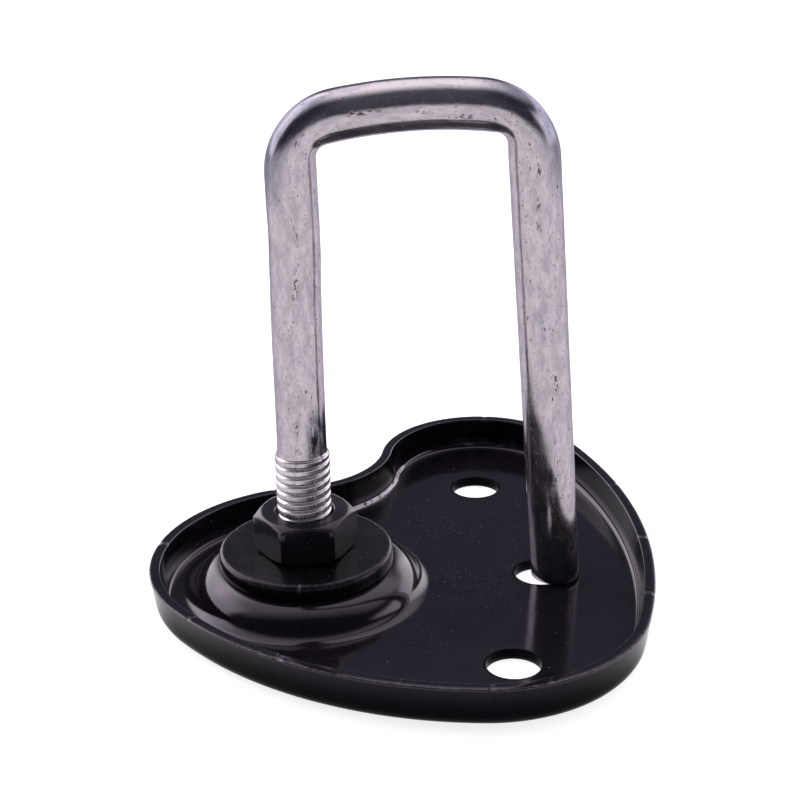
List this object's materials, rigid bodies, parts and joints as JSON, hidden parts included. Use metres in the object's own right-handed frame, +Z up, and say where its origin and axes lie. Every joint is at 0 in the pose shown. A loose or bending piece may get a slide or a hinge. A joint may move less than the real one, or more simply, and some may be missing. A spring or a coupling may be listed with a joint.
{
  "type": "pad eye",
  "caption": "Swivelling pad eye: a square-bent rod bail stands on the raised boss of a lobed, rimmed sheet-steel pan, clamped by a nut and thick washer.",
  "frame": {"origin": "centre of the pan's outline on the plane of its underside", "axes": "+Z up out of the pan, +X from the threaded leg towards the free leg, +Y towards the lobe behind the notch"},
  "size_m": [0.0888, 0.1062, 0.0922],
  "materials": {
    "gloss_black": "glossy black electro-coat on pressed sheet steel, fine scratches and worn rim edges",
    "zinc_plated_rod": "mottled pale zinc plate with small dark pits and smudges",
    "satin_black_washer": "satin black with dust specks and a bright worn edge",
    "satin_black_nut": "satin black oxide, lighter on the chamfers"
  },
  "bodies": {
    "pan": {"base_plate": "gloss_black"},
    "bail": {"bail": "zinc_plated_rod", "lower_nut": "satin_black_nut"},
    "washer": {"flat_washer": "satin_black_washer"},
    "nut": {"hex_nut": "satin_black_nut"}
  },
  "joints": [
    {"name": "bail_swing", "type": "hinge", "parent": "pan", "child": "bail", "pos_m": [-0.01691, -0.006, 0], "axis": [0, 0, 1], "range_deg": [-60, 60]},
    {"name": "washer_lift", "type": "slide", "parent": "bail", "child": "washer", "axis": [0, 0, 1], "range_m": [0, 0.00794]},
    {"name": "nut_spin", "type": "hinge", "parent": "washer", "child": "nut", "pos_m": [-0.01691, -0.006, 0.0129], "axis": [0, 0, 1], "range_deg": [0, 1800]}
  ],
  "couplings": [
    {"joint": "nut_spin", "follows": "washer_lift", "rad_per_m": 3957.9}
  ]
}
